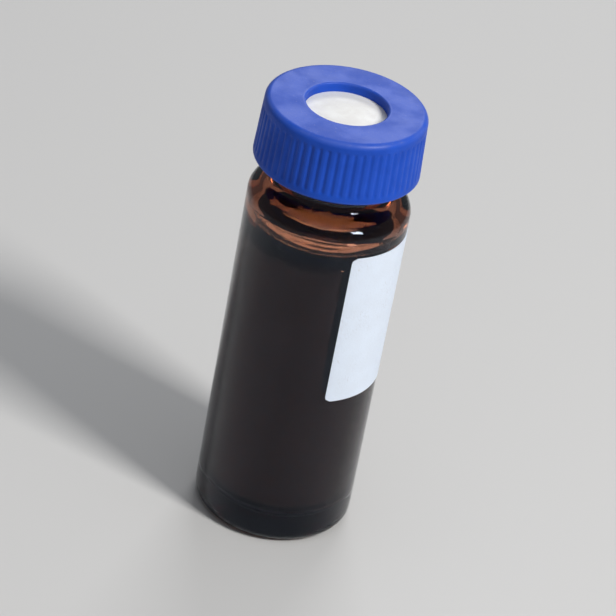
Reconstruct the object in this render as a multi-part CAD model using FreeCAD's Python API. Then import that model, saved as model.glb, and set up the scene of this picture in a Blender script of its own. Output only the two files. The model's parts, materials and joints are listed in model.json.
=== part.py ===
import FreeCAD, Part
import math
import os

# A 12 x 32 mm screw-cap sample vial: a brown glass body with a short threaded neck, a white
# writing patch and fill marks fired onto the glass, an open-hole plastic cap, a two-layer
# septum held in the cap, and the liquid sample inside.
#
# Millimetres and degrees. Z is the vial's axis, upwards. The origin is the middle of the plane
# that the base stands on. -Y is the front, and angles are counted from +X towards +Y.

# ---- driving dimensions: glass body ----
BODY_DIAMETER = 11.6
BODY_HEIGHT = 32.0
BODY_WALL = 1.0
HEEL_RADIUS = 1.0
STANDING_RING_WIDTH = 1.2
PUSH_UP_HEIGHT = 0.6
BASE_THICKNESS = 1.0
INNER_HEEL_RADIUS = 1.6

# ---- driving dimensions: shoulder and neck ----
NECK_HEIGHT = 4.0
NECK_WALL = 1.05
SHOULDER_SLOPE = 22.0
SHOULDER_RADIUS = 1.1
NECK_FOOT_RADIUS = 0.9
SHOULDER_WALL = 1.0
INNER_SHOULDER_RADIUS = 0.8
INNER_NECK_RADIUS = 1.0
RIM_RADIUS = 0.3

# ---- driving dimensions: screw thread ----
THREAD_DIAMETER = 8.9
THREAD_DEPTH = 0.4
THREAD_PITCH = 25.4 / 14
NECK_THREAD_TURNS = 1.35
NECK_THREAD_ROOT_WIDTH = 1.0
NECK_THREAD_CREST_WIDTH = 0.45
NECK_THREAD_DROP = 0.85
CAP_THREAD_TURNS = 0.72
CAP_THREAD_ROOT_WIDTH = 0.85
CAP_THREAD_CREST_WIDTH = 0.35
CAP_THREAD_START = 0.7
THREAD_CREST_CLEARANCE = 0.1
THREAD_ROOT_CLEARANCE = 0.15
THREAD_FLANK_CLEARANCE = 0.05

# ---- driving dimensions: septum ----
SILICONE_THICKNESS = 0.85
FACING_THICKNESS = 0.15
SEPTUM_EDGE_CLEARANCE = 0.06

# ---- driving dimensions: cap ----
CAP_SKIRT_WALL = 1.3
CAP_HEIGHT = 4.6
CAP_TOP_THICKNESS = 0.7
CAP_HOLE_DIAMETER = 5.8
CAP_HOLE_CHAMFER = 0.15
CAP_EDGE_RADIUS = 0.45
CAP_DRAFT = 2.5
CAP_MOUTH_CHAMFER = 0.2
RETAINER_DEPTH = 0.12
RETAINER_HEIGHT = 0.3
RIB_COUNT = 60
RIB_GROOVE_DEPTH = 0.08
RIB_GROOVE_RADIUS = 0.22
RIB_TOP_BAND = 0.75
RIB_BOTTOM_BAND = 0.5

# ---- driving dimensions: fired print ----
PRINT_THICKNESS = 0.04
PATCH_WIDTH = 7.8
PATCH_HEIGHT = 12.0
PATCH_START_ANGLE = -66.0
PATCH_CORNER_RADIUS = 0.4
PATCH_SHOULDER_GAP = 1.2
MARK_VOLUME = 250.0
MARK_COUNT = 6
LONG_MARK_LENGTH = 2.2
SHORT_MARK_LENGTH = 1.3
MARK_HEIGHT = 0.3
MARK_GAP = 1.2

# ---- driving dimensions: sample ----
SAMPLE_SHOULDER_GAP = 1.2

# ---- worked out from the driving dimensions ----
BODY_RADIUS = BODY_DIAMETER / 2
BORE_RADIUS = BODY_RADIUS - BODY_WALL
FLOOR_Z = PUSH_UP_HEIGHT + BASE_THICKNESS
THREAD_CREST_RADIUS = THREAD_DIAMETER / 2
NECK_RADIUS = THREAD_CREST_RADIUS - THREAD_DEPTH
NECK_BORE_RADIUS = NECK_RADIUS - NECK_WALL
RIM_ROUNDING = min(RIM_RADIUS, 0.4 * NECK_WALL)
NECK_FOOT_Z = BODY_HEIGHT - NECK_HEIGHT
CAP_BORE_RADIUS = THREAD_CREST_RADIUS + THREAD_ROOT_CLEARANCE
CAP_THREAD_CREST_RADIUS = NECK_RADIUS + THREAD_CREST_CLEARANCE
CAP_MOUTH_RADIUS = CAP_BORE_RADIUS + CAP_SKIRT_WALL
CAP_CEILING_Z = BODY_HEIGHT + FACING_THICKNESS + SILICONE_THICKNESS
CAP_TOP_Z = CAP_CEILING_Z + CAP_TOP_THICKNESS
CAP_MOUTH_Z = CAP_TOP_Z - CAP_HEIGHT
SEPTUM_RADIUS = CAP_BORE_RADIUS - SEPTUM_EDGE_CLEARANCE
FUSE_DEPTH = 0.12
FULL_TURN = 360.0
AXIS_POINT = FreeCAD.Vector(0, 0, 0)
AXIS = FreeCAD.Vector(0, 0, 1)


def point(radius, z):
    """A point of a turned outline, in the XZ plane."""
    return FreeCAD.Vector(radius, 0, z)


def line(start, end):
    """A straight edge of an outline."""
    return Part.LineSegment(point(*start), point(*end)).toShape()


def arc(centre, radius, start_angle, end_angle):
    """A round edge of an outline, about centre, from one angle to another."""
    places = []
    for share in (0.0, 0.5, 1.0):
        angle = math.radians(start_angle + share * (end_angle - start_angle))
        places.append(
            point(centre[0] + radius * math.cos(angle), centre[1] + radius * math.sin(angle))
        )
    return Part.Arc(*places).toShape()


def turned(edges):
    """The solid that an outline makes when it turns about the vial's axis."""
    face = Part.Face(Part.Wire(Part.__sortEdges__(edges)))
    return face.revolve(AXIS_POINT, AXIS, FULL_TURN)


def shoulder(wide_radius, narrow_radius, foot_z, outer_radius, foot_radius):
    """The edges from a wide wall up to a narrow one, and the height where the wide wall ends."""
    slope = math.radians(SHOULDER_SLOPE)
    # The two roundings may not be larger together than the step between the walls.
    room = (wide_radius - narrow_radius) / (1 - math.sin(slope))
    share = min(1.0, 0.95 * room / (outer_radius + foot_radius))
    outer_radius *= share
    foot_radius *= share
    run = wide_radius - narrow_radius - (outer_radius + foot_radius) * (1 - math.sin(slope))
    length = run / math.cos(slope)
    rise = (outer_radius + foot_radius) * math.cos(slope) + length * math.sin(slope)
    wall_end_z = foot_z - rise
    outer_centre = (wide_radius - outer_radius, wall_end_z)
    foot_centre = (narrow_radius + foot_radius, foot_z)
    line_start = (
        outer_centre[0] + outer_radius * math.sin(slope),
        outer_centre[1] + outer_radius * math.cos(slope),
    )
    line_end = (
        foot_centre[0] - foot_radius * math.sin(slope),
        foot_centre[1] - foot_radius * math.cos(slope),
    )
    edges = [
        arc(outer_centre, outer_radius, 0, 90 - SHOULDER_SLOPE),
        line(line_start, line_end),
        arc(foot_centre, foot_radius, 270 - SHOULDER_SLOPE, 180),
    ]
    return edges, wall_end_z


OUTER_SHOULDER_EDGES, BARREL_TOP_Z = shoulder(
    BODY_RADIUS, NECK_RADIUS, NECK_FOOT_Z, SHOULDER_RADIUS, NECK_FOOT_RADIUS
)
INNER_SHOULDER_EDGES, BORE_TOP_Z = shoulder(
    BORE_RADIUS,
    NECK_BORE_RADIUS,
    NECK_FOOT_Z - SHOULDER_WALL,
    INNER_SHOULDER_RADIUS,
    INNER_NECK_RADIUS,
)


def push_up_edge():
    """The hollow under the base, an arc from the axis out to the standing ring."""
    ring_inner = BODY_RADIUS - HEEL_RADIUS - STANDING_RING_WIDTH
    radius = (ring_inner**2 + PUSH_UP_HEIGHT**2) / (2 * PUSH_UP_HEIGHT)
    half_angle = math.degrees(math.asin(ring_inner / radius))
    centre = (0.0, PUSH_UP_HEIGHT - radius)
    return arc(centre, radius, 90, 90 - half_angle), ring_inner


def cavity_edges():
    """The inner wall of the glass, from the floor's middle up to the rim's inner edge."""
    inner_heel = (BORE_RADIUS - INNER_HEEL_RADIUS, FLOOR_Z + INNER_HEEL_RADIUS)
    inner_foot_z = NECK_FOOT_Z - SHOULDER_WALL
    return [
        line((0, FLOOR_Z), (inner_heel[0], FLOOR_Z)),
        arc(inner_heel, INNER_HEEL_RADIUS, 270, 360),
        line((BORE_RADIUS, inner_heel[1]), (BORE_RADIUS, BORE_TOP_Z)),
        *INNER_SHOULDER_EDGES,
        line((NECK_BORE_RADIUS, inner_foot_z), (NECK_BORE_RADIUS, BODY_HEIGHT - RIM_ROUNDING)),
    ]


def helical_ridge(root_radius, crest_radius, root_width, crest_width, turns, middle_z):
    """A thread ridge of that many turns, wound upwards, with middle_z half way up it."""
    # The flanks run on a little way into the wall, so that the ridge fuses with it.
    depth = abs(root_radius - crest_radius)
    sunk_radius = root_radius + math.copysign(FUSE_DEPTH, root_radius - crest_radius)
    sunk_width = root_width + (root_width - crest_width) * FUSE_DEPTH / depth
    height = THREAD_PITCH * turns
    start_z = middle_z - height / 2
    corners = [
        (sunk_radius, -sunk_width / 2),
        (crest_radius, -crest_width / 2),
        (crest_radius, crest_width / 2),
        (sunk_radius, sunk_width / 2),
    ]
    outline = Part.makePolygon([point(radius, z) for radius, z in corners + corners[:1]])
    helix = Part.makeHelix(THREAD_PITCH, height, root_radius)
    ridge = Part.Wire(helix.Edges).makePipeShell([outline], True, True)
    ridge.translate(FreeCAD.Vector(0, 0, start_z))
    return ridge


def neck_thread_middle():
    """The height of the middle of the neck's thread."""
    return BODY_HEIGHT - NECK_THREAD_DROP - THREAD_PITCH * NECK_THREAD_TURNS / 2


def thread_spacing():
    """How far under the neck's ridge the cap's ridge runs, with their flanks just clear."""
    depth = THREAD_CREST_RADIUS - CAP_THREAD_CREST_RADIUS
    neck_flank = (NECK_THREAD_ROOT_WIDTH - NECK_THREAD_CREST_WIDTH) / THREAD_DEPTH
    cap_flank = (CAP_THREAD_ROOT_WIDTH - CAP_THREAD_CREST_WIDTH) / (depth + THREAD_ROOT_CLEARANCE)
    at_cap_crest = NECK_THREAD_CREST_WIDTH + depth * neck_flank + CAP_THREAD_CREST_WIDTH
    at_neck_crest = CAP_THREAD_CREST_WIDTH + depth * cap_flank + NECK_THREAD_CREST_WIDTH
    return max(at_cap_crest, at_neck_crest) / 2 + THREAD_FLANK_CLEARANCE


def cap_thread_ridge():
    """The cap's thread, wound in the groove under the neck's."""
    same_angle_z = neck_thread_middle() - THREAD_PITCH * NECK_THREAD_TURNS / 2 - thread_spacing()
    start_z = CAP_MOUTH_Z + CAP_THREAD_START
    ridge = helical_ridge(
        CAP_BORE_RADIUS,
        CAP_THREAD_CREST_RADIUS,
        CAP_THREAD_ROOT_WIDTH,
        CAP_THREAD_CREST_WIDTH,
        CAP_THREAD_TURNS,
        start_z + THREAD_PITCH * CAP_THREAD_TURNS / 2,
    )
    # Both ridges are wound from +X, so a start that is higher up also starts further round.
    ridge.rotate(AXIS_POINT, AXIS, FULL_TURN * (start_z - same_angle_z) / THREAD_PITCH)
    return ridge


def vial_body():
    """The glass: base with a push-up, barrel, shoulder, threaded neck and rounded rim."""
    push_up, ring_inner = push_up_edge()
    ring_outer = BODY_RADIUS - HEEL_RADIUS
    rim_z = BODY_HEIGHT - RIM_ROUNDING
    rim_outer = NECK_RADIUS - RIM_ROUNDING
    rim_inner = NECK_BORE_RADIUS + RIM_ROUNDING
    edges = [
        push_up,
        line((ring_inner, 0), (ring_outer, 0)),
        arc((ring_outer, HEEL_RADIUS), HEEL_RADIUS, 270, 360),
        line((BODY_RADIUS, HEEL_RADIUS), (BODY_RADIUS, BARREL_TOP_Z)),
        *OUTER_SHOULDER_EDGES,
        line((NECK_RADIUS, NECK_FOOT_Z), (NECK_RADIUS, rim_z)),
        arc((rim_outer, rim_z), RIM_ROUNDING, 0, 90),
        line((rim_outer, BODY_HEIGHT), (rim_inner, BODY_HEIGHT)),
        arc((rim_inner, rim_z), RIM_ROUNDING, 90, 180),
        *cavity_edges(),
        line((0, FLOOR_Z), (0, PUSH_UP_HEIGHT)),
    ]
    thread = helical_ridge(
        NECK_RADIUS,
        THREAD_CREST_RADIUS,
        NECK_THREAD_ROOT_WIDTH,
        NECK_THREAD_CREST_WIDTH,
        NECK_THREAD_TURNS,
        neck_thread_middle(),
    )
    return turned(edges).fuse(thread)


def sample_liquid():
    """The sample, which fills the cavity up to a flat surface."""
    level = BORE_TOP_Z - SAMPLE_SHOULDER_GAP
    inner_heel = (BORE_RADIUS - INNER_HEEL_RADIUS, FLOOR_Z + INNER_HEEL_RADIUS)
    edges = [
        line((0, FLOOR_Z), (inner_heel[0], FLOOR_Z)),
        arc(inner_heel, INNER_HEEL_RADIUS, 270, 360),
        line((BORE_RADIUS, inner_heel[1]), (BORE_RADIUS, level)),
        line((BORE_RADIUS, level), (0, level)),
        line((0, level), (0, FLOOR_Z)),
    ]
    return turned(edges)


def printed_panel(start_angle, width, low_z, height, corner_radius=0.0):
    """A thin panel of fired ink that lies on the barrel, width being its arc length."""
    inner = Part.makeCylinder(BODY_RADIUS, height, point(0, low_z))
    ring = Part.makeCylinder(BODY_RADIUS + PRINT_THICKNESS, height, point(0, low_z)).cut(inner)
    middle_angle = start_angle + math.degrees(width / BODY_RADIUS) / 2
    half_chord = BODY_RADIUS * math.sin(width / BODY_RADIUS / 2)
    window = Part.makeBox(2 * BODY_RADIUS, 2 * half_chord, height)
    window.translate(FreeCAD.Vector(0, -half_chord, low_z))
    if corner_radius:
        long_edges = [
            edge
            for edge in window.Edges
            if abs(edge.Vertexes[0].X - edge.Vertexes[-1].X) > BODY_RADIUS
        ]
        window = window.makeFillet(corner_radius, long_edges)
    window.rotate(AXIS_POINT, AXIS, middle_angle)
    return ring.common(window)


def patch_width_angle():
    """How far round the barrel the writing patch goes."""
    return math.degrees(PATCH_WIDTH / BODY_RADIUS)


def write_on_patch():
    """The white ceramic patch to write on, just under the shoulder."""
    low_z = BARREL_TOP_Z - PATCH_SHOULDER_GAP - PATCH_HEIGHT
    return printed_panel(PATCH_START_ANGLE, PATCH_WIDTH, low_z, PATCH_HEIGHT, PATCH_CORNER_RADIUS)


def fill_marks():
    """Level lines beside the patch, a long one after each short one, for the sample's volume."""
    start_angle = PATCH_START_ANGLE + patch_width_angle() + math.degrees(MARK_GAP / BODY_RADIUS)
    step = MARK_VOLUME / (math.pi * BORE_RADIUS**2)
    marks = []
    for n in range(1, MARK_COUNT + 1):
        length = SHORT_MARK_LENGTH if n % 2 else LONG_MARK_LENGTH
        low_z = FLOOR_Z + n * step - MARK_HEIGHT / 2
        marks.append(printed_panel(start_angle, length, low_z, MARK_HEIGHT))
    return Part.makeCompound(marks)


def septum_facing():
    """The thin hard layer that lies on the glass rim."""
    return Part.makeCylinder(SEPTUM_RADIUS, FACING_THICKNESS, point(0, BODY_HEIGHT))


def septum_silicone():
    """The soft white layer that shows through the cap's hole."""
    return Part.makeCylinder(
        SEPTUM_RADIUS, SILICONE_THICKNESS, point(0, BODY_HEIGHT + FACING_THICKNESS)
    )


def rib_grooves():
    """The cutters for the grooves between the cap's ribs, leaning with the cap's draft."""
    low_z = CAP_MOUTH_Z + RIB_BOTTOM_BAND
    length = CAP_HEIGHT - RIB_BOTTOM_BAND - RIB_TOP_BAND
    lean = math.radians(CAP_DRAFT)
    low_radius = CAP_MOUTH_RADIUS - RIB_BOTTOM_BAND * math.tan(lean)
    direction = FreeCAD.Vector(-math.sin(lean), 0, math.cos(lean))
    groove_x = low_radius + RIB_GROOVE_RADIUS - RIB_GROOVE_DEPTH
    cutters = []
    for n in range(RIB_COUNT):
        cutter = Part.makeCylinder(RIB_GROOVE_RADIUS, length, point(groove_x, low_z), direction)
        cutter.rotate(AXIS_POINT, AXIS, n * FULL_TURN / RIB_COUNT)
        cutters.append(cutter)
    return Part.makeCompound(cutters)


def cap_edge():
    """Where the skirt meets the rounded top edge, and that edge's centre."""
    lean = math.radians(CAP_DRAFT)
    top_radius = CAP_MOUTH_RADIUS - CAP_HEIGHT * math.tan(lean)
    centre_x = top_radius + CAP_EDGE_RADIUS * (math.tan(lean) - 1 / math.cos(lean))
    centre = (centre_x, CAP_TOP_Z - CAP_EDGE_RADIUS)
    skirt_top = (
        centre[0] + CAP_EDGE_RADIUS * math.cos(lean),
        centre[1] + CAP_EDGE_RADIUS * math.sin(lean),
    )
    return skirt_top, centre


def cap_bore_corners():
    """The corners of the cap's inside, from the hole's top edge down to the mouth."""
    hole_radius = CAP_HOLE_DIAMETER / 2
    retainer_radius = CAP_BORE_RADIUS - RETAINER_DEPTH
    retainer_low_z = BODY_HEIGHT - RETAINER_HEIGHT
    return [
        (hole_radius + CAP_HOLE_CHAMFER, CAP_TOP_Z),
        (hole_radius, CAP_TOP_Z - CAP_HOLE_CHAMFER),
        (hole_radius, CAP_CEILING_Z),
        (CAP_BORE_RADIUS, CAP_CEILING_Z),
        (CAP_BORE_RADIUS, BODY_HEIGHT),
        (retainer_radius, BODY_HEIGHT - RETAINER_DEPTH),
        (retainer_radius, retainer_low_z),
        (CAP_BORE_RADIUS, retainer_low_z - RETAINER_DEPTH),
        (CAP_BORE_RADIUS, CAP_MOUTH_Z + CAP_MOUTH_CHAMFER),
        (CAP_BORE_RADIUS + CAP_MOUTH_CHAMFER, CAP_MOUTH_Z),
    ]


def screw_cap():
    """The cap: a ribbed skirt with draft, a top with the needle's hole, a thread and a retainer."""
    skirt_top, edge_centre = cap_edge()
    edge_top = (edge_centre[0], CAP_TOP_Z)
    mouth = (CAP_MOUTH_RADIUS, CAP_MOUTH_Z)
    corners = [edge_top, *cap_bore_corners(), mouth, skirt_top]
    edges = [line(start, end) for start, end in zip(corners, corners[1:])]
    edges.append(arc(edge_centre, CAP_EDGE_RADIUS, CAP_DRAFT, 90))
    return turned(edges).fuse(cap_thread_ridge()).cut(rib_grooves())


def export(name, shape):
    """Writes one sub-part, and prints its volume and whether it is a sound solid."""
    shape.exportStep(os.path.join("parts", name + ".step"))
    print(name, "solids", len(shape.Solids), "volume", round(shape.Volume, 2), "valid", shape.isValid())


def main():
    """Builds every sub-part of the vial and writes it."""
    os.makedirs("parts", exist_ok=True)
    export("vial_body", vial_body())
    export("sample_liquid", sample_liquid())
    export("write_on_patch", write_on_patch())
    export("fill_marks", fill_marks())
    export("septum_facing", septum_facing())
    export("septum_silicone", septum_silicone())
    export("screw_cap", screw_cap())


main()
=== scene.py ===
"""The looks of a screw-cap sample vial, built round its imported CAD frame.

A brown glass body, the dark sample in it, a white writing patch and fill marks fired onto the
glass, a two-layer septum and a blue open-hole screw cap. The pieces' lengths are in millimetres and
turn into metres where a mesh is made. Z is the vial's axis, -Y its front.
"""

import json
import logging
import math
from dataclasses import dataclass, field
from enum import Enum
from typing import Callable, Sequence

import bpy
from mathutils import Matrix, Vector


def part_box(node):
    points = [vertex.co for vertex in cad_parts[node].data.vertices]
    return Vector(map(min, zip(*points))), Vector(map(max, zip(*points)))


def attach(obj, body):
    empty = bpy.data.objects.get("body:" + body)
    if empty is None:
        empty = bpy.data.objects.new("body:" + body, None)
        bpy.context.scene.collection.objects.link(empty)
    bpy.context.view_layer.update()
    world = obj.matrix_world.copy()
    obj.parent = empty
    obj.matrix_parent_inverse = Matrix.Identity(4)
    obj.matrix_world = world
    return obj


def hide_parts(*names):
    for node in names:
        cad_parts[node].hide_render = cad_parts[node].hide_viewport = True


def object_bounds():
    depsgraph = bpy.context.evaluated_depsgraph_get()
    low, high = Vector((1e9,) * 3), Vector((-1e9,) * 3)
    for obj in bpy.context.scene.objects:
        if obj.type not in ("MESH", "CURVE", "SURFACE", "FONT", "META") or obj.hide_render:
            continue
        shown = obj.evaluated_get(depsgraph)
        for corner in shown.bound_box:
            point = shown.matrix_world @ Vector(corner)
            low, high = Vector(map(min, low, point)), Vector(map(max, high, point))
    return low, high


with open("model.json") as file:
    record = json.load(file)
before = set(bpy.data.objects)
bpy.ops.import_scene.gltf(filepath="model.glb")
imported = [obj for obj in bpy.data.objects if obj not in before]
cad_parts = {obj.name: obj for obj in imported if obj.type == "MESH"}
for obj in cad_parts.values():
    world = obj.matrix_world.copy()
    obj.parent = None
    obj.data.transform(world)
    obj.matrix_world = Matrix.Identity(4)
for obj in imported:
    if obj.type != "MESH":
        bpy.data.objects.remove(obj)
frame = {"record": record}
CAD_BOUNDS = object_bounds()

LOG = logging.getLogger("vial")
MM = 0.001
FULL_TURN = 2.0 * math.pi

# In millimetres: lengths that differ by less are equal, and how near a wall a point belongs to it.
SAME_LENGTH = 1e-6
NEAR_WALL = 0.01

# In metres: the reach of a weld, and the least radius that a point is moved along.
WELD_DISTANCE = 1e-7
LEAST_RADIUS = 1e-7

# How many parts the two roundings of a shoulder have, and the angle past which an edge stays crisp.
SHOULDER_STEPS = 14
NECK_FOOT_STEPS = 8
CRISP_DEGREES = 50.0

# The places of the Mix node's colour sockets, which share their names with its other sockets.
MIX_LOW, MIX_HIGH, MIX_RESULT = 6, 7, 2

Point = tuple[float, float]
Colour = tuple[float, float, float]
Socket = bpy.types.NodeSocket


# ---------------------------------------------------------------------------------------------
# Measures that come from the frame
# ---------------------------------------------------------------------------------------------


def node_top(node: str) -> float:
    """The height of a CAD node's top, in millimetres."""
    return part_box(node)[1].z / MM


def node_foot(node: str) -> float:
    """The height of a CAD node's underside, in millimetres."""
    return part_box(node)[0].z / MM


def node_radius(node: str) -> float:
    """The largest radius of a round CAD node, in millimetres."""
    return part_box(node)[1].x / MM


def mount_radius(name: str) -> float:
    """The radius of a round mount of the record, in millimetres."""
    mounts = {mount["name"]: mount for mount in frame["record"]["mounts"]}
    return mounts[name]["dims"]["r_mm"]


def thread_pitch() -> float:
    """The thread's rise in one turn, in millimetres, from the coupling of the cap's two joints."""
    turn_per_metre = frame["record"]["behaviour"]["couplings"][0]["ratio"]
    return FULL_TURN / turn_per_metre / MM


# ---------------------------------------------------------------------------------------------
# Node trees, written as arithmetic
# ---------------------------------------------------------------------------------------------


class Value:
    """A value that changes over a mesh. Arithmetic on it adds Math nodes to its tree."""

    def __init__(self, tree: bpy.types.NodeTree, socket: Socket) -> None:
        """Wraps an output socket of a node in tree."""
        self.tree = tree
        self.socket = socket

    def math(self, operation: str, *others: "Value | float") -> "Value":
        """Adds one Math node.

        Args:
            operation: The Math node's operation.
            others: The node's second and third inputs.

        Returns:
            The node's result.
        """
        node = self.tree.nodes.new("ShaderNodeMath")
        node.operation = operation
        for place, other in enumerate((self, *others)):
            if isinstance(other, Value):
                self.tree.links.new(other.socket, node.inputs[place])
            else:
                node.inputs[place].default_value = other
        return Value(self.tree, node.outputs[0])

    def __add__(self, other: "Value | float") -> "Value":
        """The sum."""
        return self.math("ADD", other)

    def __sub__(self, other: "Value | float") -> "Value":
        """The difference."""
        return self.math("SUBTRACT", other)

    def __mul__(self, other: "Value | float") -> "Value":
        """The product."""
        return self.math("MULTIPLY", other)

    def __truediv__(self, other: "Value | float") -> "Value":
        """The quotient."""
        return self.math("DIVIDE", other)

    def clamped(self) -> "Value":
        """The value, kept between 0 and 1."""
        return self.math("MAXIMUM", 0.0).math("MINIMUM", 1.0)

    def inverted(self) -> "Value":
        """1 less the value."""
        return self * -1.0 + 1.0

    def smooth_step(self, low: "Value | float", high: "Value | float") -> "Value":
        """A soft step.

        Args:
            low: Where the step starts.
            high: Where it ends.

        Returns:
            0 below low, 1 above high, and an S-shaped rise between them.
        """
        node = self.tree.nodes.new("ShaderNodeMapRange")
        node.interpolation_type = "SMOOTHSTEP"
        for place, end in ((0, self), (1, low), (2, high)):
            if isinstance(end, Value):
                self.tree.links.new(end.socket, node.inputs[place])
            else:
                node.inputs[place].default_value = end
        return Value(self.tree, node.outputs[0])


class TreeMaker:
    """Adds nodes and links to a node tree."""

    def __init__(self, tree: bpy.types.NodeTree) -> None:
        """Takes the tree."""
        self.tree = tree

    def node(self, kind: str, **settings: object) -> bpy.types.Node:
        """Adds a node.

        Args:
            kind: The node's type.
            settings: The properties to set on it.

        Returns:
            The new node.
        """
        made = self.tree.nodes.new(kind)
        for name, value in settings.items():
            setattr(made, name, value)
        return made

    def link(self, source: "Socket | Value", target: Socket) -> None:
        """Joins an output to an input."""
        self.tree.links.new(source.socket if isinstance(source, Value) else source, target)

    def value(self, socket: Socket) -> Value:
        """An output socket, ready for arithmetic."""
        return Value(self.tree, socket)

    def split(self, vector: Socket) -> tuple[Value, Value, Value]:
        """Takes a vector apart.

        Args:
            vector: The vector's socket.

        Returns:
            Its X, Y and Z.
        """
        node = self.node("ShaderNodeSeparateXYZ")
        self.link(vector, node.inputs[0])
        return tuple(self.value(output) for output in node.outputs)

    def join(self, x: Value, y: Value, z: Value) -> Socket:
        """Puts a vector together.

        Args:
            x: Its X.
            y: Its Y.
            z: Its Z.

        Returns:
            The vector's socket.
        """
        node = self.node("ShaderNodeCombineXYZ")
        for part, target in zip((x, y, z), node.inputs):
            self.link(part, target)
        return node.outputs[0]


class GroupMaker(TreeMaker):
    """Builds a node group of either kind, with named inputs and outputs."""

    def __init__(self, name: str, kind: str) -> None:
        """Starts an empty group.

        Args:
            name: The group's name.
            kind: The tree's type, "GeometryNodeTree" or "ShaderNodeTree".
        """
        super().__init__(bpy.data.node_groups.new(name, kind))
        self.entry = self.node("NodeGroupInput")
        self.exit = self.node("NodeGroupOutput")

    def add_input(self, name: str, kind: str, default: object = None) -> Socket:
        """Adds a named input.

        Args:
            name: The input's name.
            kind: Its socket type, without the "NodeSocket" in front.
            default: Its default value, if it has one.

        Returns:
            The socket inside the group.
        """
        item = self.tree.interface.new_socket(name, in_out="INPUT", socket_type="NodeSocket" + kind)
        if default is not None:
            item.default_value = default
        return self.entry.outputs[name]

    def add_number(self, name: str, default: float) -> Value:
        """Adds a named number as an input, ready for arithmetic."""
        return Value(self.tree, self.add_input(name, "Float", default))

    def add_output(self, name: str, kind: str, source: "Socket | Value") -> None:
        """Adds a named output and joins source to it."""
        self.tree.interface.new_socket(name, in_out="OUTPUT", socket_type="NodeSocket" + kind)
        self.link(source, self.exit.inputs[name])


class Shaping:
    """Puts a Geometry Nodes tree on a mesh and turns the result into a plain mesh."""

    def __init__(self, tree: bpy.types.NodeTree) -> None:
        """Takes the finished tree."""
        self.tree = tree

    def apply(self, piece: bpy.types.Object, **inputs: object) -> bpy.types.Object:
        """Evaluates the tree on a piece.

        Args:
            piece: The object to shape.
            inputs: The tree's inputs by name, with _ for each space.

        Returns:
            The same object, with the shaped mesh and no modifier.
        """
        modifier = piece.modifiers.new(self.tree.name, "NODES")
        modifier.node_group = self.tree
        identifiers = {
            item.name: item.identifier
            for item in self.tree.interface.items_tree
            if item.item_type == "SOCKET" and item.in_out == "INPUT"
        }
        for name, given in inputs.items():
            modifier[identifiers[name.replace("_", " ")]] = given
        bpy.context.view_layer.update()
        evaluated = piece.evaluated_get(bpy.context.evaluated_depsgraph_get())
        shaped = bpy.data.meshes.new_from_object(evaluated)
        piece.modifiers.clear()
        old = piece.data
        piece.data = shaped
        bpy.data.meshes.remove(old)
        shaped.name = piece.name
        return piece


# ---------------------------------------------------------------------------------------------
# Turned outlines and meshes
# ---------------------------------------------------------------------------------------------


def arc(centre: Point, radius: float, start: float, end: float, steps: int) -> list[Point]:
    """Points along a round edge of an outline.

    Args:
        centre: The arc's centre, as radius and height.
        radius: The arc's own radius.
        start: The angle it starts at, in degrees.
        end: The angle it ends at, in degrees.
        steps: How many parts it has.

    Returns:
        The points, both ends among them.
    """
    points = []
    for step in range(steps + 1):
        angle = math.radians(start + (end - start) * step / steps)
        points.append((centre[0] + radius * math.cos(angle), centre[1] + radius * math.sin(angle)))
    return points


def run(start: Point, end: Point, spacing: float) -> list[Point]:
    """Points along a straight edge of an outline, no further apart than spacing.

    Args:
        start: The first end.
        end: The other end.
        spacing: The longest gap between two points.

    Returns:
        The points between the ends, without the ends themselves.
    """
    steps = max(1, math.ceil(math.dist(start, end) / spacing))
    return [
        (
            start[0] + (end[0] - start[0]) * step / steps,
            start[1] + (end[1] - start[1]) * step / steps,
        )
        for step in range(1, steps)
    ]


def outline(parts: Sequence[list[Point]], spacing: float) -> list[Point]:
    """Joins arcs and single points into one outline, with straight runs between them.

    Args:
        parts: The arcs and corners, in order.
        spacing: The longest gap between two points of a straight run.

    Returns:
        The whole outline.
    """
    points = list(parts[0])
    for part in parts[1:]:
        points += run(points[-1], part[0], spacing)
        points += part
    return points


def shoulder_arcs(
    wide: float, narrow: float, foot_z: float, outer: float, foot: float, slope: float
) -> tuple[list[Point], list[Point]]:
    """The two roundings of a shoulder.

    Args:
        wide: The radius of the wall below.
        narrow: The radius of the wall above.
        foot_z: The height where the wall above starts.
        outer: The rounding at the wall below.
        foot: The rounding at the wall above.
        slope: The slope between them, in degrees from level.

    Returns:
        The lower rounding and the upper rounding.
    """
    lean = math.radians(slope)
    across = wide - narrow - (outer + foot) * (1 - math.sin(lean))
    rise = (outer + foot) * math.cos(lean) + across * math.tan(lean)
    lower = arc((wide - outer, foot_z - rise), outer, 0, 90 - slope, SHOULDER_STEPS)
    upper = arc((narrow + foot, foot_z), foot, 270 - slope, 180, NECK_FOOT_STEPS)
    return lower, upper


def new_piece(
    name: str, vertices: Sequence[Sequence[float]], faces: Sequence[Sequence[int]]
) -> bpy.types.Object:
    """Makes a smooth-shaded mesh object at the origin.

    Args:
        name: The object's name.
        vertices: The places of its points, in millimetres.
        faces: The point numbers of each face, turning anticlockwise seen from outside.

    Returns:
        The new object.
    """
    mesh = bpy.data.meshes.new(name)
    mesh.from_pydata([[part * MM for part in vertex] for vertex in vertices], [], faces)
    mesh.validate()
    mesh.shade_smooth()
    piece = bpy.data.objects.new(name, mesh)
    bpy.context.scene.collection.objects.link(piece)
    return piece


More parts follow.
